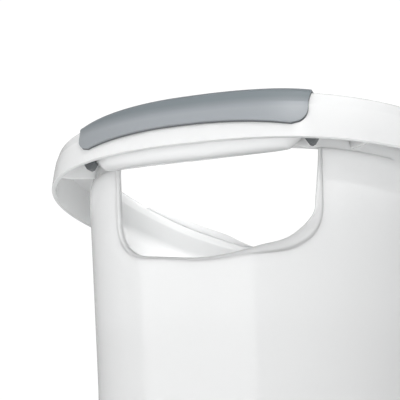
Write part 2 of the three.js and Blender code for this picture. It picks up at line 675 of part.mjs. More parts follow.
function bailWire() {
  const steps = 30;
  const points = [];
  for (let i = 0; i <= steps; i += 1) {
    const angle = (Math.PI * i) / steps;
    const x = BAIL_HALF_LENGTH * roundPower(Math.cos(angle));
    points.push(new THREE.Vector3(x, -BAIL_REACH * roundPower(Math.sin(angle)), BAIL_Z));
  }
  const path = new THREE.CatmullRomCurve3(points);
  const circle = new THREE.Shape().absarc(0, 0, BAIL_RADIUS, 0, 2 * Math.PI);
  const geometry = new THREE.ExtrudeGeometry(circle, { steps: 44, extrudePath: path, curveSegments: 4, bevelEnabled: false });
  const [inner, outer] = [BUCKET_HALF_LENGTH - 5, BAIL_HALF_LENGTH + 1];
  return join(toSolid(geometry), pin(BAIL_RADIUS, inner, outer, 0, BAIL_Z, 8), pin(BAIL_RADIUS, -outer, -inner, 0, BAIL_Z, 8));
}

function bailGrip() {
  const y = -BAIL_REACH;
  const sleeve = pin(4.2, -42, 42, y, BAIL_Z, 20);
  const bore = box(-50, 50, y - BAIL_RADIUS - GAP, y + BAIL_RADIUS + 3, BAIL_Z - BAIL_RADIUS - GAP, BAIL_Z + BAIL_RADIUS + GAP);
  return cut(sleeve, bore);
}

addPiece('inner_bucket', bucket(), GREY, bucketGroup);
addPiece('bail_wire', bailWire(), STEEL, bucketGroup);
addPiece('bail_grip', bailGrip(), DARK, bucketGroup);

export default group;
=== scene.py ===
# A white oval pedal bin in a bright studio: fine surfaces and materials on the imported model. Metres, +Z up.
import bpy
import bmesh
import json
import math
from mathutils import Matrix, Vector


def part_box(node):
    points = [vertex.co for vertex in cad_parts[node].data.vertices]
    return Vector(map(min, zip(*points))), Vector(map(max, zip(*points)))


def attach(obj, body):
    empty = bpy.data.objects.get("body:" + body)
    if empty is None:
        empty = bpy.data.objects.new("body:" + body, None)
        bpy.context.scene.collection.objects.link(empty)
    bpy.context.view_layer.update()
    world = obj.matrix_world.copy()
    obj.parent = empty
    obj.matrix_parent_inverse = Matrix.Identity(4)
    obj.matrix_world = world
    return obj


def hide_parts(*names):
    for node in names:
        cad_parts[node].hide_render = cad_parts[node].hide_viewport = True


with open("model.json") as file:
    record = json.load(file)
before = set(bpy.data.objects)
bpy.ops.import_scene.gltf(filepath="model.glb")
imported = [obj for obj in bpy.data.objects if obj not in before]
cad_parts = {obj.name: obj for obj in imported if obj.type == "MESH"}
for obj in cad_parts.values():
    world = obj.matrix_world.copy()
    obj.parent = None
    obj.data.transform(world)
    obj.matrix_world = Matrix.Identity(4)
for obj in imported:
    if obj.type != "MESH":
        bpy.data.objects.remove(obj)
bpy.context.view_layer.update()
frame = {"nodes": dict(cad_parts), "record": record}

MM = 0.001

# Driving sizes, from the frame
body_low, body_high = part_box("body_shell")
HALF_X = body_high.x
HALF_Y = body_high.y
RIM_TOP = body_high.z
WALL_FOOT = body_low.z
SQUARENESS = 2.5
WALL = 2.5 * MM
SKIRT_DEPTH = 24.5 * MM
NECK_INSET = 25 * MM
SHOULDER_INSET = 21 * MM
SHOULDER_Z = RIM_TOP - 25 * MM
WAIST_Z = 490 * MM
WAIST_INSET = 30.7 * MM
FOOT_INSET = 52.6 * MM
FLOOR_Z = 50.5 * MM
HOLE_CENTRE = 2 * MM
HOLE_HALF = 58.5 * MM
HOLE_TOP = RIM_TOP - 23 * MM
HOLE_DEPTH = 57.6 * MM
GRIP_CENTRE = -5.5 * MM
GRIP_HALF = 66.5 * MM
GRIP_DEPTH = 17.5 * MM
GRIP_RISE = 3 * MM
PRONGS_Y = (-69 * MM, 60 * MM)
END_RIBS_Y = (-100 * MM, 89 * MM)
REST_CENTRE = -6 * MM
FRONT_FULLNESS = 3 * MM
CROWN = 0.5 * MM
FRONT_DIP = 3.4 * MM
RIM_EDGE_INSET = 3.4 * MM
SKIRT_LEAN = 1.5 * MM
SKIRT_TOP_DROP = 7 * MM


# Camera: low, looking up at the +X end of the rim

CAMERA_TARGET = Vector((123.65 * MM, -37.2 * MM, RIM_TOP - 24.4 * MM))
CAMERA_DISTANCE = 0.52
CAMERA_AZIMUTH = math.radians(20.49)
CAMERA_ELEVATION = math.radians(-13.71)
CAMERA_ROLL = math.radians(0.17)
FOCAL_LENGTH = 70.4
SENSOR_WIDTH = 36
NEAREST_SEEN = 0.02


def place_camera():
    level = math.cos(CAMERA_ELEVATION)
    away_x, away_y = math.cos(CAMERA_AZIMUTH) * level, math.sin(CAMERA_AZIMUTH) * level
    away = Vector((away_x, away_y, math.sin(CAMERA_ELEVATION)))
    side = Vector((0, 0, 1)).cross(away).normalized()
    up = away.cross(side)
    rolled_side = side * math.cos(CAMERA_ROLL) + up * math.sin(CAMERA_ROLL)
    rolled_up = away.cross(rolled_side)
    turn = Matrix((rolled_side, rolled_up, away)).transposed().to_4x4()
    data = bpy.data.cameras.new("camera")
    data.lens = FOCAL_LENGTH
    data.sensor_width = SENSOR_WIDTH
    data.clip_start = NEAREST_SEEN
    camera = bpy.data.objects.new("camera", data)
    camera.matrix_world = Matrix.Translation(CAMERA_TARGET + away * CAMERA_DISTANCE) @ turn
    bpy.context.scene.collection.objects.link(camera)
    bpy.context.scene.camera = camera


place_camera()


# Studio: white world, pale floor, soft lights and a narrow spot through the mouth

WORLD_GLOW = 0.36
WORLD_SEEN = 1.05


def aimed_light(data, place, aim, power):
    """A light at a place, turned towards a point."""
    data.energy = power
    light = bpy.data.objects.new(data.name, data)
    light.location = place
    light.rotation_euler = (Vector(aim) - light.location).to_track_quat("-Z", "Y").to_euler()
    bpy.context.scene.collection.objects.link(light)
    return light


def area_light(name, place, aim, size, power, mirrored_back=True):
    """A rectangular soft light; mirrored_back says whether glossy surfaces reflect it."""
    data = bpy.data.lights.new(name, "AREA")
    data.shape = "RECTANGLE"
    data.size, data.size_y = size
    aimed_light(data, place, aim, power).visible_glossy = mirrored_back


def spot_light(name, place, aim, cone, power):
    data = bpy.data.lights.new(name, "SPOT")
    data.spot_size = math.radians(cone)
    data.spot_blend = 0.5
    data.shadow_soft_size = 0.1
    aimed_light(data, place, aim, power)


def build_world():
    world = bpy.data.worlds.new("white_studio")
    world.use_nodes = True
    nodes, links = world.node_tree.nodes, world.node_tree.links
    nodes.clear()
    output = nodes.new("ShaderNodeOutputWorld")
    mix = nodes.new("ShaderNodeMixShader")
    path = nodes.new("ShaderNodeLightPath")
    glow = nodes.new("ShaderNodeBackground")
    glow.inputs["Strength"].default_value = WORLD_GLOW
    seen = nodes.new("ShaderNodeBackground")
    seen.inputs["Strength"].default_value = WORLD_SEEN
    for shade in (glow, seen):
        shade.inputs["Color"].default_value = (1, 1, 1, 1)
    links.new(path.outputs["Is Camera Ray"], mix.inputs["Fac"])
    links.new(glow.outputs[0], mix.inputs[1])
    links.new(seen.outputs[0], mix.inputs[2])
    links.new(mix.outputs[0], output.inputs[0])
    bpy.context.scene.world = world
    bpy.context.scene.view_settings.view_transform = "Standard"


build_world()
area_light("softbox", place=(1.456, -0.657, 0.65), aim=(0.22, 0, 0.6), size=(1.9, 1.2), power=10)
area_light("low_fill", place=(1.1, 0.75, 0.12), aim=(0.2, 0, 0.6), size=(0.6, 0.4), power=8,
           mirrored_back=False)
area_light("side_fill", place=(0.4, -1.6, 0.7), aim=(0.1, -0.1, 0.6), size=(0.8, 0.8), power=5,
           mirrored_back=False)
spot_light("mouth", place=(0.9, 0.5, 1.25), aim=(-0.03, -0.11, 0.61), cone=10, power=165)


# Materials

def new_material(name, color, roughness):
    material = bpy.data.materials.new(name)
    material.use_nodes = True
    shader = material.node_tree.nodes["Principled BSDF"]
    shader.inputs["Base Color"].default_value = (*color, 1)
    shader.inputs["Roughness"].default_value = roughness
    return material, shader


def noise(material, scale, detail=4.0):
    """A noise texture in the object's own space, for the other helpers to use."""
    nodes, links = material.node_tree.nodes, material.node_tree.links
    place = nodes.new("ShaderNodeTexCoord")
    texture = nodes.new("ShaderNodeTexNoise")
    texture.inputs["Scale"].default_value = scale
    texture.inputs["Detail"].default_value = detail
    links.new(place.outputs["Object"], texture.inputs["Vector"])
    return texture


def vary_color(material, shader, texture, dark, light):
    nodes, links = material.node_tree.nodes, material.node_tree.links
    ramp = nodes.new("ShaderNodeValToRGB")
    ramp.color_ramp.elements[0].position = 0.3
    ramp.color_ramp.elements[1].position = 0.7
    ramp.color_ramp.elements[0].color = (*dark, 1)
    ramp.color_ramp.elements[1].color = (*light, 1)
    links.new(texture.outputs["Fac"], ramp.inputs["Fac"])
    links.new(ramp.outputs["Color"], shader.inputs["Base Color"])


def vary_roughness(material, shader, texture, low, high):
    nodes, links = material.node_tree.nodes, material.node_tree.links
    span = nodes.new("ShaderNodeMapRange")
    span.inputs["To Min"].default_value = low
    span.inputs["To Max"].default_value = high
    links.new(texture.outputs["Fac"], span.inputs["Value"])
    links.new(span.outputs["Result"], shader.inputs["Roughness"])


def bump(material, shader, texture, strength, distance):
    nodes, links = material.node_tree.nodes, material.node_tree.links
    node = nodes.new("ShaderNodeBump")
    node.inputs["Strength"].default_value = strength
    node.inputs["Distance"].default_value = distance
    links.new(texture.outputs["Fac"], node.inputs["Height"])
    links.new(node.outputs["Normal"], shader.inputs["Normal"])


def white_plastic():
    """Glossy polypropylene that lets a little light through."""
    material, shader = new_material("white_plastic", (0.85, 0.86, 0.86), 0.3)
    shader.inputs["IOR"].default_value = 1.49
    shader.inputs["Subsurface Weight"].default_value = 0.75
    shader.inputs["Subsurface Radius"].default_value = (1, 1, 1)
    shader.inputs["Subsurface Scale"].default_value = 0.008
    vary_color(material, shader, noise(material, 3, 1), (0.852, 0.863, 0.865), (0.86, 0.869, 0.87))
    vary_roughness(material, shader, noise(material, 5, 1), 0.1, 0.13)
    return material


# Painted shade on the grips: their colour darkens between these two depths below the rim's top.
GRIP_SHADE_LOW = 9 * MM
GRIP_SHADE_HIGH = 3 * MM


def grey_grip():
    """Soft-touch elastomer with painted shade: its colour is darker over the rim's top than down the skirt.
    """
    material, shader = new_material("grey_grip", (0.3, 0.33, 0.35), 0.45)
    shader.inputs["Sheen Weight"].default_value = 0.15
    shader.inputs["Sheen Roughness"].default_value = 0.4
    nodes, links = material.node_tree.nodes, material.node_tree.links
    place = nodes.new("ShaderNodeTexCoord")
    split = nodes.new("ShaderNodeSeparateXYZ")
    height = nodes.new("ShaderNodeMapRange")
    height.inputs["From Min"].default_value = RIM_TOP - GRIP_SHADE_LOW
    height.inputs["From Max"].default_value = RIM_TOP - GRIP_SHADE_HIGH
    ramp = nodes.new("ShaderNodeValToRGB")
    # Painted shade: the first colour is for the skirt, the darker second one paints shade over the rim's top.
    ramp.color_ramp.elements[0].color = (0.29, 0.31, 0.33, 1)
    ramp.color_ramp.elements[1].color = (0.17, 0.195, 0.21, 1)
    links.new(place.outputs["Object"], split.inputs["Vector"])
    links.new(split.outputs["Z"], height.inputs["Value"])
    links.new(height.outputs["Result"], ramp.inputs["Fac"])
    links.new(ramp.outputs["Color"], shader.inputs["Base Color"])
    vary_roughness(material, shader, noise(material, 220), 0.34, 0.46)
    bump(material, shader, noise(material, 1600, 2), 0.12, 0.0002)
    return material


def dull_material(name, color, low, high, grain):
    """A matt finish with a fine grain, its roughness between low and high."""
    material, shader = new_material(name, color, low)
    dark = tuple(0.88 * c for c in color)
    light = tuple(min(1, 1.1 * c) for c in color)
    vary_color(material, shader, noise(material, 40), dark, light)
    vary_roughness(material, shader, noise(material, 150), low, high)
    bump(material, shader, noise(material, grain, 2), 0.15, 0.0003)
    return material


def steel():
    material, shader = new_material("steel", (0.6, 0.6, 0.62), 0.3)
    shader.inputs["Metallic"].default_value = 1
    shader.inputs["Anisotropic"].default_value = 0.3
    vary_color(material, shader, noise(material, 90), (0.55, 0.55, 0.57), (0.64, 0.64, 0.66))
    vary_roughness(material, shader, noise(material, 400), 0.24, 0.42)
    return material


LOOKS = {
    "white_plastic": white_plastic(),
    "grey_grip": grey_grip(),
    "bucket_plastic": dull_material("bucket_plastic", (0.42, 0.44, 0.45), 0.35, 0.5, 500),
    "rubber": dull_material("rubber", (0.035, 0.036, 0.038), 0.6, 0.8, 900),
    "steel": steel(),
    "dark_plastic": dull_material("dark_plastic", (0.12, 0.13, 0.135), 0.35, 0.5, 700),
}


def build_floor():
    size = 6
    mesh = bpy.data.meshes.new("studio_floor")
    corners = [(-size, -size, 0), (size, -size, 0), (size, size, 0), (-size, size, 0)]
    mesh.from_pydata(corners, [], [(0, 1, 2, 3)])
    floor = bpy.data.objects.new("studio_floor", mesh)
    material, shader = new_material("studio_floor", (0.88, 0.88, 0.88), 0.6)
    vary_color(material, shader, noise(material, 0.7), (0.87, 0.87, 0.87), (0.89, 0.89, 0.89))
    mesh.materials.append(material)
    bpy.context.scene.collection.objects.link(floor)


build_floor()


# Mesh helpers

MERGE_DISTANCE = 0.02 * MM
SHORTEST_EDGE = 0.005 * MM


def make_piece(name, points, faces, body, slot, *nodes):
    """A smooth mesh piece that rides on a body, takes a slot's finish and stands for CAD nodes."""
    mesh = bpy.data.meshes.new(name)
    mesh.from_pydata(points, [], faces)
    shape = bmesh.new()
    shape.from_mesh(mesh)
    bmesh.ops.remove_doubles(shape, verts=shape.verts, dist=MERGE_DISTANCE)
    bmesh.ops.dissolve_degenerate(shape, edges=shape.edges, dist=SHORTEST_EDGE)
    shape.to_mesh(mesh)
    shape.free()
    mesh.shade_smooth()
    mesh.materials.append(LOOKS[slot])
    piece = bpy.data.objects.new(name, mesh)
    bpy.context.scene.collection.objects.link(piece)
    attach(piece, body)
    if nodes:
        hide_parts(*nodes)
    return piece


def thicken(piece, thickness, offset=-1.0):
    modifier = piece.modifiers.new("thickness", "SOLIDIFY")
    modifier.thickness = thickness
    modifier.offset = offset
    modifier.use_even_offset = True


def round_edges(piece, width, angle=50, segments=3):
    modifier = piece.modifiers.new("round_edges", "BEVEL")
    modifier.width = width
    modifier.segments = segments
    modifier.limit_method = "ANGLE"
    modifier.angle_limit = math.radians(angle)
    modifier.harden_normals = True


def quads(rows, closed=False, flip=False):
    """Points and faces of a grid whose rows are lists of equal length."""
    points = [p for row in rows for p in row]
    width = len(rows[0])
    faces = []
    for r in range(len(rows) - 1):
        for c in range(width if closed else width - 1):
            d = (c + 1) % width
            face = (r * width + c, r * width + d, (r + 1) * width + d, (r + 1) * width + c)
            faces.append(face[::-1] if flip else face)
    return points, faces


def merge(*grids):
    points, faces = [], []
    for some_points, some_faces in grids:
        start = len(points)
        points += some_points
        faces += [tuple(start + i for i in face) for face in some_faces]
    return points, faces


def rounded(corners, steps=6):
    """A polyline through (u, v, radius) corners, each turned into an arc."""
    line = [Vector(corners[0][:2])]
    for before, (u, v, radius), after in zip(corners, corners[1:], corners[2:]):
        here = Vector((u, v))
        back = (Vector(before[:2]) - here).normalized()
        ahead = (Vector(after[:2]) - here).normalized()
        half = back.angle(ahead) / 2
        if radius == 0 or half > math.radians(89.9):
            line.append(here)
            continue
        centre = here + (back + ahead).normalized() * radius / math.sin(half)
        start = here + back * radius / math.tan(half) - centre
        turn = start.angle_signed(here + ahead * radius / math.tan(half) - centre)
        for i in range(steps + 1):
            line.append(centre + Matrix.Rotation(-turn * i / steps, 2) @ start)
    line.append(Vector(corners[-1][:2]))
    return line


def subdivide(line, step):
    """The polyline with no stretch longer than step."""
    fine = [line[0]]
    for a, b in zip(line, line[1:]):
        count = max(1, math.ceil((b - a).length / step))
        fine += [a.lerp(b, i / count) for i in range(1, count + 1)]
    return fine


def value_at(line, v):
    """u of a polyline of (u, v) points, rising in v, at height v."""
    for a, b in zip(line, line[1:]):
        if a.y <= v <= b.y:
            return a.x + (b.x - a.x) * (v - a.y) / max(b.y - a.y, 1e-9)
    return line[-1].x


def power(value):
    return math.copysign(abs(value) ** (2 / SQUARENESS), value)


def outline(half_x, half_y, angle, z):
    return Vector((half_x * power(math.cos(angle)), half_y * power(math.sin(angle)), z))


def smooth_share(value, low, high):
    share = min(1, max(0, (value - low) / (high - low)))
    return share * share * (3 - 2 * share)


def end_name(side):
    return "right" if side > 0 else "left"


DIP_LENGTH = 70 * MM
DIP_STARTS_X = 100 * MM
DIP_FULL_X = 190 * MM
CROWN_STARTS_DOWN_Y = 50 * MM
CROWN_ENDS_Y = 90 * MM


def crown(x, y):
    """How much the rim's top stands above its nominal height: its ends dip towards the pedal."""
    if y < 0:
        dip_share = min(1, (y / DIP_LENGTH) ** 2) * smooth_share(abs(x), DIP_STARTS_X, DIP_FULL_X)
        return CROWN - FRONT_DIP * dip_share
    return CROWN * (1 - smooth_share(y, CROWN_STARTS_DOWN_Y, CROWN_ENDS_Y))


def extra_width(inset):
    """How much fuller the rim is on the pedal's side, fading to nothing at the neck."""
    return FRONT_FULLNESS * max(0, 1 - max(0, inset) / NECK_INSET)


def on_rim(inset, angle, z):
    """The rim's plan outline at an inset from its edge."""
    fuller = extra_width(inset) if math.sin(angle) < 0 else 0
    spot = outline(HALF_X - inset, HALF_Y - inset + fuller, angle, z)
    spot.z += crown(spot.x, spot.y) * smooth_share(z, RIM_TOP - 16 * MM, RIM_TOP - 5 * MM)
    return spot


def angle_at(inset, y):
    """The outline's angle at a given Y, near the +X end."""
    fuller = extra_width(inset) if y < 0 else 0
    share = min(1, abs(y) / (HALF_Y - inset + fuller))
    return math.copysign(math.asin(share ** (SQUARENESS / 2)), y)


def mirrored(points, faces, mirror):
    """The same grid at the other end of the bin."""
    if not mirror:
        return points, faces
    return [Vector((-p.x, p.y, p.z)) for p in points], [face[::-1] for face in faces]


def face_towards(piece, direction):
    """Makes an open sheet's faces agree, with their overall side towards a direction."""
    shape = bmesh.new()
    shape.from_mesh(piece.data)
    bmesh.ops.recalc_face_normals(shape, faces=shape.faces)
    total = sum((face.normal * face.calc_area() for face in shape.faces), Vector())
    if total.dot(Vector(direction)) < 0:
        bmesh.ops.reverse_faces(shape, faces=shape.faces)
    shape.to_mesh(piece.data)
    shape.free()


def face_out(piece):
    """Turns every face of a closed piece outwards."""
    shape = bmesh.new()
    shape.from_mesh(piece.data)
    bmesh.ops.recalc_face_normals(shape, faces=shape.faces)
    shape.to_mesh(piece.data)
    shape.free()


def face_up_at_top(piece):
    """Makes an open sheet's faces agree, with its highest face towards +Z."""
    shape = bmesh.new()
    shape.from_mesh(piece.data)
    bmesh.ops.recalc_face_normals(shape, faces=shape.faces)
    shape.faces.ensure_lookup_table()
    top_face = max(shape.faces, key=lambda face: face.calc_center_median().z)
    if top_face.normal.z < 0:
        bmesh.ops.reverse_faces(shape, faces=shape.faces)
    shape.to_mesh(piece.data)
    shape.free()


# Body shell: one sheet up the wall's inner face, over the rim's top and down the skirt's outer face, with its
# thickness behind it

WAIST_RADIUS = 0.6

def body_profile():
    """The body's section as insets from the rim's edge and heights, from the foot to the skirt's hem."""
    corners = [
        (FOOT_INSET + WALL, WALL_FOOT, 0),
        (WAIST_INSET + WALL, WAIST_Z, WAIST_RADIUS),
        (SHOULDER_INSET + WALL, SHOULDER_Z, 7 * MM),
        (NECK_INSET + WALL, RIM_TOP - 9 * MM, 5 * MM),
        (NECK_INSET + WALL, RIM_TOP, 4 * MM),
        (RIM_EDGE_INSET, RIM_TOP, 2.2 * MM),
        (SKIRT_LEAN, RIM_TOP - SKIRT_TOP_DROP, 6 * MM),
        (0, RIM_TOP - SKIRT_DEPTH, 0),
    ]
    return rounded(corners, 8)


def wall_section(profile):
    """The part of the body's section that rises from the foot to the rim's top."""
    top_at = max(range(len(profile)), key=lambda i: profile[i].y)
    return profile[:top_at + 1]


HOLE_LOWEST = HOLE_TOP - HOLE_DEPTH - 0.4 * MM
HOLE_SIDE_LOW = HOLE_TOP - HOLE_DEPTH + 5.5 * MM
HOLE_SIDE_LEAN = 1.5 * MM
HOLE_FRONT_CORNER = 22 * MM
HOLE_REAR_CORNER = 24 * MM
HOLE_BELLY_RADIUS = 60 * MM


def hole_outline():
    """The hand-hole's edge in Y and Z: leaning sides, round lower corners and a slightly bellied bottom."""
    corners = [
        (-HOLE_HALF, HOLE_TOP, 0),
        (-HOLE_HALF + HOLE_SIDE_LEAN, HOLE_SIDE_LOW, HOLE_FRONT_CORNER),
        (-8 * MM, HOLE_LOWEST, HOLE_BELLY_RADIUS),
        (4 * MM, HOLE_LOWEST, HOLE_BELLY_RADIUS),
        (HOLE_HALF - HOLE_SIDE_LEAN, HOLE_SIDE_LOW + 1 * MM, HOLE_REAR_CORNER),
        (HOLE_HALF, HOLE_TOP, 0),
    ]
    line = [Vector((q.x + HOLE_CENTRE, q.y)) for q in rounded(corners, 10)]
    return subdivide(line, 1.5 * MM)


def along(line, share):
    """The point a given share of the way along a polyline."""
    lengths = [0.0]
    for a, b in zip(line, line[1:]):
        lengths.append(lengths[-1] + (b - a).length)
    want = share * lengths[-1]
    for a, b, low, high in zip(line, line[1:], lengths, lengths[1:]):
        if want <= high + 1e-12:
            return a.lerp(b, (want - low) / max(high - low, 1e-12))
    return line[-1]


BLOCK_ANGLE = math.radians(44)
BLOCK_COLUMNS = 56
GAP_COLUMNS = 56
BLOCK_BOTTOM = HOLE_TOP - HOLE_DEPTH - 20 * MM
BLOCK_ROWS = 20
BLOCK_RINGS = 9
LOWER_ROWS = 34


def column_angles():
    """The wall's columns: a block at each hand-hole and a gap on each long side."""
    block = [-BLOCK_ANGLE + 2 * BLOCK_ANGLE * i / BLOCK_COLUMNS for i in range(BLOCK_COLUMNS)]
    gap = [BLOCK_ANGLE + (math.pi - 2 * BLOCK_ANGLE) * i / GAP_COLUMNS for i in range(GAP_COLUMNS)]
    return block + gap + [a + math.pi for a in block + gap]


def hole_block(wall_line, heights):
    """The wall's patch round a hand-hole: rings of quads from a rectangle in to the hole's edge."""
    left = [Vector((-BLOCK_ANGLE, z)) for z in reversed(heights)]
    step = 2 * BLOCK_ANGLE / BLOCK_COLUMNS
    floor = [Vector((-BLOCK_ANGLE + step * i, heights[0])) for i in range(1, BLOCK_COLUMNS)]
    right = [Vector((BLOCK_ANGLE, z)) for z in heights]
    outer = left + floor + right
    edge = hole_outline()
    inner = []
    for i in range(len(outer)):
        spot = along(edge, i / (len(outer) - 1))
        inner.append(Vector((angle_at(value_at(wall_line, spot.y), spot.x), spot.y)))
    rows = []
    for ring in range(BLOCK_RINGS + 1):
        share = ring / BLOCK_RINGS
        row = [a.lerp(b, share) for a, b in zip(outer, inner)]
        rows.append([on_rim(value_at(wall_line, q.y), q.x, q.y) for q in row])
    return quads(rows)


def wall_band(wall_line, heights, angles, closed=False):
    """A grid of the wall's inner face over some heights and angles."""
    rows = [[on_rim(value_at(wall_line, z), a, z) for a in angles] for z in heights]
    return quads(rows, closed=closed, flip=True)


def build_body():
    """The whole wall and the rim with its skirt as one sheet, with a fine patch round each hand-hole."""
    profile = body_profile()
    wall_line = wall_section(profile)
    heights = [BLOCK_BOTTOM + (HOLE_TOP - BLOCK_BOTTOM) * i / BLOCK_ROWS for i in range(BLOCK_ROWS + 1)]
    angles = column_angles()
    low = [WALL_FOOT + (BLOCK_BOTTOM - WALL_FOOT) * i / LOWER_ROWS for i in range(LOWER_ROWS + 1)]
    lower = wall_band(wall_line, low, angles, closed=True)
    start = next(i for i, q in enumerate(profile) if q.y > HOLE_TOP + 0.1 * MM)
    over = subdivide([Vector((value_at(wall_line, HOLE_TOP), HOLE_TOP))] + profile[start:], 1.6 * MM)
    upper = quads([[on_rim(q.x, a, q.y) for a in angles] for q in over], closed=True, flip=True)
    gaps = []
    gap = math.pi - 2 * BLOCK_ANGLE
    for turn in (0, math.pi):
        sweep = [turn + BLOCK_ANGLE + gap * i / GAP_COLUMNS for i in range(GAP_COLUMNS + 1)]
        gaps.append(wall_band(wall_line, heights, sweep))
    blocks = [mirrored(*hole_block(wall_line, heights), mirror) for mirror in (False, True)]
    sheet = merge(lower, upper, *gaps, *blocks)
    piece = make_piece("body_shell_fine", *sheet, "can", "white_plastic", "body_shell")
    face_up_at_top(piece)
    thicken(piece, WALL)
    round_edges(piece, 0.7 * MM)


# The lip's section in mm: depth behind the wall's outer face, and how far it narrows the hole
HOLE_LIP_SECTION = ((0.65, -0.9), (0.65, 0.3), (0.9, 1.2), (1.5, 2.0), (2.6, 2.4))
HOLE_LIP_THICKNESS = 1.1 * MM
FRONT_LIP_SHARE = 0.4
TOP_LIP_SHARE = 0.15
CORNER_LIP_EXTRA = 1.3


def hole_lip_width(q):
    """The lip's share of its full width at a point of the edge, and its swelling in the low rear corner."""
    below_top = HOLE_TOP - q.y
    rear_corner = smooth_share(q.x, 15 * MM, 45 * MM) * smooth_share(below_top, 30 * MM, 48 * MM)
    rear = TOP_LIP_SHARE + (1 - TOP_LIP_SHARE) * smooth_share(below_top, 0, 32 * MM)
    to_rear = smooth_share(q.x, HOLE_CENTRE - 30 * MM, HOLE_CENTRE + 40 * MM)
    return FRONT_LIP_SHARE + (rear - FRONT_LIP_SHARE) * to_rear, 1 + CORNER_LIP_EXTRA * rear_corner


def build_hole_lip(side):
    """The hand-hole's moulded edge: a band that narrows the hole towards the inside of the wall."""
    wall_line = wall_section(body_profile())
    middle = Vector((HOLE_CENTRE, HOLE_TOP - 20 * MM))
    rows = []
    for depth, narrow in HOLE_LIP_SECTION:
        row = []
        for q in hole_outline():
            width, corner = hole_lip_width(q)
            step = narrow * MM * corner * (width if narrow > 0 else 1)
            p = q + (middle - q).normalized() * step
            inset = value_at(wall_line, q.y) - WALL + depth * MM
            row.append(on_rim(inset, angle_at(inset, p.x), p.y))
        rows.append(row)
    points, faces = mirrored(*quads(rows), side < 0)
    lip = make_piece(f"hole_lip_{end_name(side)}", points, faces, "can", "white_plastic", "body_shell")
    thicken(lip, HOLE_LIP_THICKNESS, 0)
    round_edges(lip, 0.3 * MM, 50, 2)


LIP_HEIGHT = 5.5 * MM
LIP_START = 25 * MM
LIP_END = -178 * MM
LIP_ROOT = 2 * MM
LIP_LEAST = 1.6 * MM


def build_mouth_lip():
    """A low raised lip on the left half of the mouth's edge, on the pedal's side."""
    count, inset = 120, NECK_INSET + WALL / 2
    rows = []
    for level in (0, 0.5, 0.85, 1):
        row = []
        for i in range(count + 1):
            x = LIP_START + (LIP_END - LIP_START) * i / count
            share = x / (HALF_X - inset)
            angle = -math.acos(math.copysign(abs(share) ** (SQUARENESS / 2), share))
            swell = smooth_share(-x, -LIP_START, 70 * MM) * (1 - smooth_share(-x, 130 * MM, -LIP_END))
            rise = (LIP_HEIGHT * swell + LIP_LEAST) * level
            row.append(on_rim(inset, angle, RIM_TOP - LIP_ROOT) + Vector((0, 0, rise)))
        rows.append(row)
    points, faces = quads(rows)
    lip = make_piece("mouth_lip", points, faces, "can", "white_plastic", "body_shell")
    thicken(lip, 2 * MM, 0)
    round_edges(lip, 0.6 * MM, 50, 3)


REST_HALF_LENGTH = 63 * MM
REST_INSET = 13.2 * MM
REST_HALF_DEPTH = 9.6 * MM
REST_BELOW_RIM = 14 * MM
REST_LEAST_DROP = 9 * MM
REST_BELLY = 7 * MM
REST_UPPER_SHARE = 0.5


def build_finger_rest(side):
    """The rolled rest under a handle: a long roll bent to the rim, fuller in the middle."""
    rows, count, around = [], 80, 44
    for i in range(count + 1):
        share = -math.cos(math.pi * i / count)
        y = REST_CENTRE + REST_HALF_LENGTH * share
        fullness = math.sqrt(max(0, 1 - share * share))
        drop = (REST_LEAST_DROP + REST_BELLY * fullness) * min(1, 1.9 * fullness)
        reach = REST_HALF_DEPTH * min(1, 1.5 * fullness)
        row = []
        for k in range(around):
            turn = 2 * math.pi * k / around
            inset = REST_INSET + reach * power(math.cos(turn))
            height = power(math.sin(turn)) * (1 if math.sin(turn) < 0 else REST_UPPER_SHARE)
            z = RIM_TOP - REST_BELOW_RIM + drop * height
            row.append(on_rim(inset, angle_at(inset, y), z))
        rows.append(row)
    points, faces = mirrored(*quads(rows, closed=True), side < 0)
    make_piece(f"finger_rest_{end_name(side)}", points, faces, "can", "white_plastic", "body_shell")


FLOOR_THICKNESS = 3 * MM


def build_floor_plate():
    """The body's inner floor: rings of quads out to the leaning wall, with a fan in the middle."""
    rings, count = 10, 120
    lean = (FOOT_INSET - WAIST_INSET) / (WAIST_Z - WALL_FOOT)
    inset = FOOT_INSET - (FLOOR_Z - WALL_FOOT) * lean + WALL / 2
    z = FLOOR_Z + FLOOR_THICKNESS / 2
    rows = []
    for r in range(1, rings + 1):
        half_x, half_y = (HALF_X - inset) * r / rings, (HALF_Y - inset) * r / rings
        rows.append([outline(half_x, half_y, 2 * math.pi * k / count, z) for k in range(count)])
    points, faces = quads(rows, closed=True)
    points.append(Vector((0, 0, z)))
    faces += [(len(points) - 1, k, (k + 1) % count) for k in range(count)]
    floor = make_piece("bin_floor", points, faces, "can", "white_plastic", "body_shell")
    thicken(floor, FLOOR_THICKNESS)


REAR_RIB_ANGLE = math.radians(71)
RIB_HALF_THICKNESS = 0.9 * MM
RIB_INSET = 2 * MM
RIB_FOOT_DROP = 20 * MM
RIB_STEPS = 6
# How far the rib's upper edge lies below the rim's top, from inside the rounded skirt to the flange
RIB_UPPER_DROP = [9 * MM, 2.4 * MM] + [1.5 * MM] * (RIB_STEPS - 1)


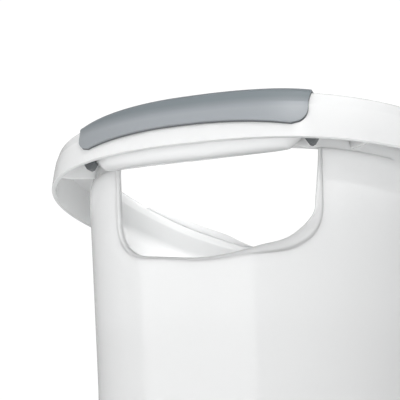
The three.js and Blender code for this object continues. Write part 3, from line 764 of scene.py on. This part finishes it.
def build_gussets():
    """Thin uprights between the wall and the skirt."""
    angles = [angle_at(0, y) for y in END_RIBS_Y]
    ribs = [(side, angle) for side in (1, -1) for angle in angles]
    ribs += [(side, REAR_RIB_ANGLE) for side in (1, -1)]
    low, foot = RIM_TOP - SKIRT_DEPTH + 1 * MM, RIM_TOP - RIB_FOOT_DROP
    for number, (side, angle) in enumerate(ribs):
        near, far = on_rim(RIB_INSET, angle, 0), on_rim(NECK_INSET + 1 * MM, angle, 0)
        across = (far - near).normalized().cross(Vector((0, 0, 1))) * RIB_HALF_THICKNESS
        lower, upper = [], []
        for i, drop in enumerate(RIB_UPPER_DROP):
            share = i / RIB_STEPS
            spot = near.lerp(far, share)
            lower.append(spot + Vector((0, 0, low + (foot - low) * share ** 2)))
            upper.append(spot + Vector((0, 0, RIM_TOP - drop)))
        sheets = [[p + across for p in lower], [p + across for p in upper],
                  [p - across for p in upper], [p - across for p in lower]]
        rows = [[Vector((side * p.x, p.y, p.z)) for p in row] for row in sheets + sheets[:1]]
        points, faces = quads(rows)
        width = len(lower)
        near_end = (0, width, 2 * width, 3 * width)
        far_end = tuple(start + RIB_STEPS for start in (0, 3 * width, 2 * width, width))
        faces += [near_end, far_end]
        rib = make_piece(f"rim_gusset_{number + 1}", points, faces, "can", "white_plastic", "body_shell")
        face_out(rib)
        round_edges(rib, 0.3 * MM, 60, 2)


# Soft grips

GRIP_FLARE = 1.5 * MM
GRIP_FLARE_DEPTH = 9 * MM
GRIP_CORNER = 8 * MM
SKIN_THICKNESS = 1.7 * MM
SKIN_GAP = 0.4 * MM
# The dark carrier under the skin; its margin past the skin's edge is painted shade, a thin shadow line round
# the grip.
CARRIER_THICKNESS = 0.6 * MM
CARRIER_GAP = 0.15 * MM
SHADE_LINE_MARGIN = 0.55 * MM
END_SETTLING = 0.4 * MM


def grip_profile():
    """From the skirt's outer face up and over the rim's top, on the skirt's own surface."""
    draft = SKIRT_LEAN * (SKIRT_DEPTH - GRIP_DEPTH) / (SKIRT_DEPTH - SKIRT_TOP_DROP)
    corners = [
        (draft, RIM_TOP - GRIP_DEPTH, 0),
        (SKIRT_LEAN, RIM_TOP - SKIRT_TOP_DROP, 2 * MM),
        (RIM_EDGE_INSET, RIM_TOP, 2.2 * MM),
        (NECK_INSET - 1 * MM, RIM_TOP, 0),
    ]
    return subdivide(rounded(corners, 10), 1.2 * MM)


def grip_end(depth):
    """How far along Y the grip reaches at a depth below the rim's top: round lower corner, flared top."""
    flare = GRIP_FLARE * max(0, 1 - depth / GRIP_FLARE_DEPTH) ** 2
    lift = max(0, depth - (GRIP_DEPTH - GRIP_CORNER)) / GRIP_CORNER
    corner = GRIP_CORNER * (1 - math.sqrt(max(0, 1 - min(1, lift) ** 2)))
    return GRIP_HALF - 1 * MM + flare - corner


def stand_off(points, faces, width, gap):
    """The same grid, a small gap off the rim, settling a little at both ends."""
    mesh = bpy.data.meshes.new("measure")
    mesh.from_pydata(points, [], faces)
    lifted = []
    for i, (p, v) in enumerate(zip(points, mesh.vertices)):
        from_middle = abs(2 * (i % width) / (width - 1) - 1)
        lifted.append(p + v.normal * (gap - END_SETTLING * smooth_share(from_middle, 0.5, 1)))
    bpy.data.meshes.remove(mesh)
    return lifted


def grip_sheet(side, margin, gap):
    """The grip's underside on the rim, widened all round by a margin and stood off by a gap."""
    columns = 110
    rows = []
    for q in grip_profile():
        reach = grip_end(RIM_TOP - q.y) + margin
        depth_share = max(0, (RIM_TOP - q.y - SKIRT_TOP_DROP) / (GRIP_DEPTH - SKIRT_TOP_DROP))
        row = []
        for i in range(columns + 1):
            share = math.sin(math.pi / 2 * (2 * i / columns - 1))
            y = GRIP_CENTRE + reach * share
            rise = (GRIP_RISE * (1 - share * share) - margin) * depth_share
            row.append(on_rim(q.x, angle_at(q.x, y), q.y + rise))
        rows.append(row)
    points, faces = mirrored(*quads(rows), side < 0)
    return stand_off(points, faces, columns + 1, gap), faces


def build_grip(side):
    """A soft skin on a hard dark carrier whose edge, proud of the skin, is painted shade: a thin shadow line
    round the skin.
    """
    label = end_name(side)
    node = f"grip_{label}"
    skin = make_piece(f"grip_{label}_fine", *grip_sheet(side, 0, SKIN_GAP), "can", "grey_grip", node)
    thicken(skin, SKIN_THICKNESS, 1.0)
    round_edges(skin, 0.7 * MM, 50, 3)
    # Painted shade: the dark carrier is widened past the skin so that its edge shows as the grip's shadow
    # line.
    sheet = grip_sheet(side, SHADE_LINE_MARGIN, CARRIER_GAP)
    shade_line_carrier = make_piece(f"grip_carrier_{label}", *sheet, "can", "dark_plastic", node)
    thicken(shade_line_carrier, CARRIER_THICKNESS, 1.0)


PRONG_INSET = 9 * MM
PRONG_TOP = RIM_TOP + 1 * MM
PRONG_SHOULDER = RIM_TOP - 21.5 * MM
PRONG_TIP = RIM_TOP - 26 * MM
PRONG_HALF_DEPTH = 2.4 * MM
# The prong's outline from its top to near its tip: half width and height
PRONG_OUTLINE = [
    (2.4 * MM, PRONG_TOP),
    (2.4 * MM, PRONG_SHOULDER + 0.8 * MM),
    (3.4 * MM, PRONG_SHOULDER),
    (3.3 * MM, PRONG_SHOULDER - 1 * MM),
    (1.4 * MM, PRONG_TIP + 0.5 * MM),
]


def build_prong(side, y):
    """A grip's snap prong: a stem down through the rim with an arrowhead barb."""
    centre = on_rim(PRONG_INSET, angle_at(PRONG_INSET, y), 0)
    outward = (on_rim(0, angle_at(0, y), 0) - centre).normalized()
    across = Vector((-outward.y, outward.x, 0))
    line = PRONG_OUTLINE + [(0, PRONG_TIP)] + [(-w, z) for w, z in reversed(PRONG_OUTLINE)]
    rows = []
    for depth in (-PRONG_HALF_DEPTH, PRONG_HALF_DEPTH):
        row = [centre + across * w + outward * depth + Vector((0, 0, z)) for w, z in line]
        rows.append([Vector((side * p.x, p.y, p.z)) for p in row])
    points, faces = quads(rows, closed=True)
    count = len(line)
    faces += [tuple(range(count)), tuple(reversed(range(count, 2 * count)))]
    label = end_name(side)
    name = f"grip_prong_{label}_{'rear' if y > 0 else 'front'}"
    prong = make_piece(name, points, faces, "can", "dark_plastic", f"grip_{label}")
    face_out(prong)
    round_edges(prong, 0.3 * MM, 30, 2)


# Sweeps and flat plates

def swept(path, radii, around=20):
    """A round bar along a path of points, with flat ends."""
    rows = []
    for i, here in enumerate(path):
        ahead = (path[min(i + 1, len(path) - 1)] - path[max(i - 1, 0)]).normalized()
        side = ahead.cross(Vector((0, 0, 1)) if abs(ahead.z) < 0.9 else Vector((0, 1, 0))).normalized()
        up = side.cross(ahead)
        turns = [2 * math.pi * k / around for k in range(around)]
        rows.append([here + (side * math.cos(t) + up * math.sin(t)) * radii[i] for t in turns])
    points, faces = quads(rows, closed=True)
    last = len(points)
    faces += [tuple(range(around)), tuple(reversed(range(last - around, last)))]
    return points, faces


def plate(line, x0, x1):
    """A flat plate whose closed outline is drawn in Y and Z."""
    rows = [[Vector((x, y, z)) for y, z in line] for x in (x0, x1)]
    points, faces = quads(rows, closed=True)
    count = len(line)
    return points, faces + [tuple(range(count)), tuple(reversed(range(count, 2 * count)))]


def arc(y, z, radius, start, end, steps=14):
    """Points of a circle drawn in Y and Z, between two angles in degrees."""
    turns = [math.radians(start + (end - start) * i / steps) for i in range(steps + 1)]
    return [(y + radius * math.cos(t), z + radius * math.sin(t)) for t in turns]


# Lid, drawn closed and then turned back to its parked place

HINGE_Y = 127 * MM
HINGE_Z = RIM_TOP + 12 * MM
HINGE_X = 50 * MM
LID_OPEN = math.radians(97)
LID_INSET = 16 * MM
LID_REAR = 119 * MM
LID_TOP = RIM_TOP + 24 * MM
DOME_TOP = LID_TOP - 4.7 * MM
DOME_DROP = 7.3 * MM
DOME_INSET = 3.2 * MM
# The rounded shoulder and skirt in mm: inset from the lid's edge, and drop below the lid's top
LID_SHOULDER = ((1.7, 12.9), (0.6, 14.3), (0.1, 16), (0, 18), (0, 20.4))
CRANK_RADIUS = 20 * MM
CRANK_Y = HINGE_Y - CRANK_RADIUS * math.cos(LID_OPEN / 2)
CRANK_Z = HINGE_Z - CRANK_RADIUS * math.sin(LID_OPEN / 2)
NOTCH_ANGLE = math.radians(4)
NOTCH_DEPTH = 18 * MM
LID_TURN = Matrix.Rotation(-LID_OPEN, 3, "X")


def parked(points):
    """Points drawn on the closed lid, turned about the hinge to where the lid is open."""
    hinge = Vector((0, HINGE_Y, HINGE_Z))
    return [LID_TURN @ (p - hinge) + hinge for p in points]


def lid_edge(inset, heading, z, slotted=True):
    """The lid's edge on a ray from its middle: an oval with a straight rear side and a slot for the yoke."""
    across = abs(math.cos(heading)) / (HALF_X - LID_INSET - inset)
    along_y = abs(math.sin(heading)) / (HALF_Y - LID_INSET - inset)
    reach = (across ** SQUARENESS + along_y ** SQUARENESS) ** (-1 / SQUARENESS)
    if math.sin(heading) > 0.3:
        notched = slotted and abs(heading - math.pi / 2) < NOTCH_ANGLE
        rear = LID_REAR - inset - (NOTCH_DEPTH if notched else 0)
        reach = min(reach, rear / math.sin(heading))
    return Vector((reach * math.cos(heading), reach * math.sin(heading), z))


def lid_headings():
    """Even rays round the lid, with close pairs at the slot's sides."""
    count, close = 240, math.radians(0.15)
    even = [2 * math.pi * k / count for k in range(count)]
    slot_sides = [math.pi / 2 + side * NOTCH_ANGLE for side in (-1, 1)]
    clear = [a for a in even if all(abs(a - b) > 3 * close for b in slot_sides)]
    return sorted(clear + [b + shift for b in slot_sides for shift in (-close, close)])


def lid_sheet():
    """The lid's outer face: a low dome, a rounded shoulder and a short skirt."""
    headings, rings = lid_headings(), 22
    rows = []
    for r in range(1, rings + 1):
        row = []
        for a in headings:
            p = lid_edge(DOME_INSET, a, 0) * (r / rings)
            dome_share = p.length / lid_edge(DOME_INSET, a, 0, slotted=False).length
            row.append(p + Vector((0, 0, DOME_TOP - DOME_DROP * dome_share ** 2)))
        rows.append(row)
    for inset, drop in LID_SHOULDER:
        rows.append([lid_edge(inset * MM, a, LID_TOP - drop * MM) for a in headings])
    points, faces = quads(rows, closed=True)
    points.append(Vector((0, 0, DOME_TOP)))
    count = len(headings)
    return points, faces + [(len(points) - 1, k, (k + 1) % count) for k in range(count)]


KNUCKLE_OVERLAP = 14 * MM
KNUCKLE_RADIUS = 5.5 * MM
KNUCKLE_HALF_WIDTH = 9.2 * MM
CRANK_LUG_RADIUS = 4.6 * MM
CRANK_LUG_WIDTH = 3.2 * MM
CRANK_LUGS_X = (("right", 8.7 * MM), ("left", -11.9 * MM))


def lid_plate(name, line, x0, x1, softness):
    """A flat plate drawn on the closed lid, with softened edges."""
    points, faces = plate(line, x0, x1)
    piece = make_piece(name, parked(points), faces, "lid", "white_plastic", "lid")
    face_out(piece)
    round_edges(piece, softness, 60, 2)


def build_lid():
    """The lid's shell, its two hinge knuckles and the two lugs that hold the crank pin."""
    points, faces = lid_sheet()
    lid = make_piece("lid_fine", parked(points), faces, "lid", "white_plastic", "lid")
    face_towards(lid, LID_TURN @ Vector((0, 0, 1)))
    lid.modifiers.new("thickness", "SOLIDIFY").thickness = WALL
    round_edges(lid, 0.5 * MM, 60, 2)
    arm = LID_REAR - KNUCKLE_OVERLAP
    round_end = arc(HINGE_Y, HINGE_Z, KNUCKLE_RADIUS, -90, 90)
    knuckle = [(arm, HINGE_Z)] + round_end + [(arm, HINGE_Z + 4 * MM)]
    for label, x in (("right", HINGE_X), ("left", -HINGE_X)):
        lid_plate(f"lid_knuckle_{label}", knuckle, x - KNUCKLE_HALF_WIDTH, x + KNUCKLE_HALF_WIDTH, 0.6 * MM)
    rear = LID_REAR - 0.5 * MM
    root = [(rear, RIM_TOP + 9 * MM), (rear, RIM_TOP + 14 * MM), (LID_REAR - 19 * MM, RIM_TOP + 16 * MM)]
    lug = root + arc(CRANK_Y, CRANK_Z, CRANK_LUG_RADIUS, 180, 360)
    for label, x in CRANK_LUGS_X:
        lid_plate(f"crank_lug_{label}", lug, x, x + CRANK_LUG_WIDTH, 0.4 * MM)


# Inner bucket with its bail

BUCKET_Y = -7 * MM
BUCKET_EXCESS = 100 * MM
BUCKET_CORE = 155 * MM
BUCKET_WALL = 2 * MM
BUCKET_LIP = 2.9 * MM
BUCKET_FOOT = 177 * MM
BUCKET_RIM = 195 * MM
BUCKET_LOW = 52.35 * MM
BUCKET_TOP = 535 * MM
BAIL_Z = 524 * MM
BAIL_RADIUS = 2 * MM
BAIL_HALF_LENGTH = 203 * MM
BAIL_REACH = 103.5 * MM
# The wire's bent end in mm: across X, and along Y from the bucket's middle
BAIL_BEND = [(190, 0), (198, 0), (201, -0.3), (202.6, -1.8)]
SLEEVE_HALF_LENGTH = 41.8 * MM
SLEEVE_RADIUS = 4.1 * MM
SLEEVE_END = 2 * MM
SLEEVE_END_DROP = 1.2 * MM
SLEEVE_WAVE = 0.25 * MM
SLEEVE_WAVE_LENGTH = 21 * MM


def bucket_ring(radius, z, count=144):
    """The bucket's plan outline at a height; inside its core the outline only shrinks."""
    shrink = min(1, radius / BUCKET_CORE)
    wide = max(radius, BUCKET_CORE)
    turns = [2 * math.pi * k / count for k in range(count)]
    ring = [outline(wide * shrink, (wide - BUCKET_EXCESS) * shrink, t, z) for t in turns]
    return [p + Vector((0, BUCKET_Y, 0)) for p in ring]


def build_bucket():
    """The bucket's inner face from the middle of the floor up and over its rolled lip, thickened outwards."""
    floor = BUCKET_LOW + BUCKET_WALL
    corners = [
        (30 * MM, floor, 0),
        (BUCKET_FOOT - BUCKET_WALL, floor, 7 * MM),
        (BUCKET_RIM - BUCKET_WALL, BUCKET_TOP, 2 * MM),
        (BUCKET_RIM + BUCKET_LIP, BUCKET_TOP, 1.5 * MM),
        (BUCKET_RIM + BUCKET_LIP, BUCKET_TOP - 3 * MM, 0),
    ]
    line = subdivide(rounded(corners, 6), 16 * MM)
    rows = [bucket_ring(q.x, q.y) for q in line]
    points, faces = quads(rows, closed=True, flip=True)
    count = len(rows[0])
    points.append(Vector((0, BUCKET_Y, floor)))
    faces += [(len(points) - 1, k, (k + 1) % count) for k in range(count)]
    bucket = make_piece("inner_bucket_fine", points, faces, "can", "bucket_plastic", "inner_bucket")
    face_towards(bucket, (0, 0, 1))
    thicken(bucket, BUCKET_WALL)
    round_edges(bucket, 0.4 * MM, 60, 2)


def build_bail():
    """The wire bent in at both ends, lying round the bucket's mouth, with a waved sleeve on its middle."""
    steps = 120
    path = [Vector((x * MM, BUCKET_Y + y * MM, BAIL_Z)) for x, y in BAIL_BEND]
    for i in range(1, steps):
        curve = outline(BAIL_HALF_LENGTH, BAIL_REACH, math.pi * i / steps, BAIL_Z)
        if curve.y > 5 * MM:
            path.append(Vector((curve.x, BUCKET_Y - curve.y, BAIL_Z)))
    path += [Vector((-x * MM, BUCKET_Y + y * MM, BAIL_Z)) for x, y in reversed(BAIL_BEND)]
    points, faces = swept(path, [BAIL_RADIUS] * len(path), 16)
    make_piece("bail_wire_fine", points, faces, "bail", "steel", "bail_wire")
    count = 60
    path, radii = [], []
    for i in range(count + 1):
        x = SLEEVE_HALF_LENGTH * (2 * i / count - 1)
        end = max(0, abs(x) - (SLEEVE_HALF_LENGTH - SLEEVE_END)) / SLEEVE_END
        waves = SLEEVE_WAVE * (1 - math.cos(2 * math.pi * x / SLEEVE_WAVE_LENGTH))
        path.append(Vector((x, BUCKET_Y - BAIL_REACH, BAIL_Z)))
        radii.append(SLEEVE_RADIUS - waves - SLEEVE_END_DROP * end ** 2)
    points, faces = swept(path, radii, 28)
    make_piece("bail_grip_fine", points, faces, "bail", "dark_plastic", "bail_grip")


# Pedal tread and feet

PIVOT_Y = -30 * MM
PIVOT_Z = 25 * MM
LEVER_TILT = math.radians(7.8)
PAD_FRONT = -125 * MM
PAD_BACK = -84 * MM
PAD_HALF_WIDTH = 27.95 * MM
PAD_CORNER = 7 * MM
PAD_LOW = 2.35 * MM
PAD_HIGH = 5.8 * MM
PAD_EDGE = 0.9 * MM
GROOVE_DEPTH = 1.3 * MM
RIDGES = 6


def tilted(points):
    """Points drawn on the level lever, turned to where the pedal is down."""
    turn = Matrix.Rotation(LEVER_TILT, 3, "X")
    return [turn @ p + Vector((0, PIVOT_Y, PIVOT_Z)) for p in points]


def pad_section(half_width, top):
    """The tread's section across X, with softened upper edges."""
    soft, slight = PAD_EDGE, 0.3 * PAD_EDGE
    upper = [(half_width, top - soft), (half_width - slight, top - slight), (half_width - soft, top)]
    lower = [(-half_width, PAD_LOW), (half_width, PAD_LOW)]
    return lower + upper + [(0, top)] + [(-x, z) for x, z in reversed(upper)]


def build_pedal_pad():
    """A ridged rubber tread with round corners."""
    count, length = 96, PAD_BACK - PAD_FRONT
    rows = []
    for i in range(count + 1):
        y = PAD_FRONT + length * i / count
        end = max(0, PAD_CORNER - (y - PAD_FRONT), PAD_CORNER - (PAD_BACK - y))
        half_width = PAD_HALF_WIDTH - PAD_CORNER + math.sqrt(max(0, PAD_CORNER ** 2 - end ** 2))
        wave = math.cos(2 * math.pi * RIDGES * (y - PAD_FRONT) / length)
        top = PAD_HIGH - GROOVE_DEPTH * min(1, max(0, 0.5 + 0.9 * wave))
        rows.append([Vector((x, y, z)) for x, z in pad_section(half_width, top)])
    points, faces = quads(rows, closed=True)
    span = len(rows[0])
    last = len(points)
    faces += [tuple(range(span)), tuple(reversed(range(last - span, last)))]
    pad = make_piece("pedal_tread", tilted(points), faces, "pedal", "rubber", "pedal_pad")
    face_out(pad)
    round_edges(pad, 0.25 * MM, 50, 2)


# A foot's section in mm: radius and height
FOOT_SECTION = [(0.4, 0.9), (5.5, 0.9), (6.2, 0), (7.8, 0), (8.5, 0.7), (9.4, 2.6), (9.2, 3.1), (0.4, 3.1)]


def build_feet():
    """Turned rubber feet with a softened tread edge and a shallow cup underneath."""
    around = 48
    turns = [2 * math.pi * k / around for k in range(around)]
    for number in range(1, 5):
        low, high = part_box(f"foot_{number}")
        middle = (low + high) / 2
        rows = []
        for r, z in FOOT_SECTION:
            ring = [(r * MM * math.cos(t), r * MM * math.sin(t)) for t in turns]
            rows.append([Vector((middle.x + x, middle.y + y, z * MM)) for x, y in ring])
        points, faces = quads(rows + rows[:1], closed=True)
        foot = make_piece(f"foot_{number}_fine", points, faces, "can", "rubber", f"foot_{number}")
        face_out(foot)
        round_edges(foot, 0.25 * MM, 40, 2)


ROD_RADIUS = 2.5 * MM


def build_rod():
    """The lift rod, a slightly leaning round bar between the rod's foot and its yoke."""
    low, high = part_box("lift_rod")
    slope = (high.y - low.y - 2 * ROD_RADIUS) / (high.z - low.z)
    foot = Vector((0, low.y + ROD_RADIUS, low.z))
    rises = (3 * MM, high.z - low.z - 0.2 * MM)
    points, faces = swept([foot + Vector((0, slope * rise, rise)) for rise in rises], [ROD_RADIUS] * 2, 28)
    rod = make_piece("lift_rod_fine", points, faces, "rod", "steel", "lift_rod")
    face_out(rod)
    round_edges(rod, 0.3 * MM, 40, 2)


# CAD nodes that keep their own shape

def finish_cad_nodes():
    slots = {part["node"]: part["material_slot"] for part in frame["record"]["subparts"]}
    for name, node in frame["nodes"].items():
        node.data.materials.clear()
        node.data.materials.append(LOOKS[slots[name]])
        for face in node.data.polygons:
            face.use_smooth = False


finish_cad_nodes()
build_body()
build_floor_plate()
build_mouth_lip()
build_gussets()
for end_side in (1, -1):
    build_finger_rest(end_side)
    build_hole_lip(end_side)
    build_grip(end_side)
    for prong_y in PRONGS_Y:
        build_prong(end_side, prong_y)
build_lid()
build_bucket()
build_bail()
build_pedal_pad()
build_feet()
build_rod()
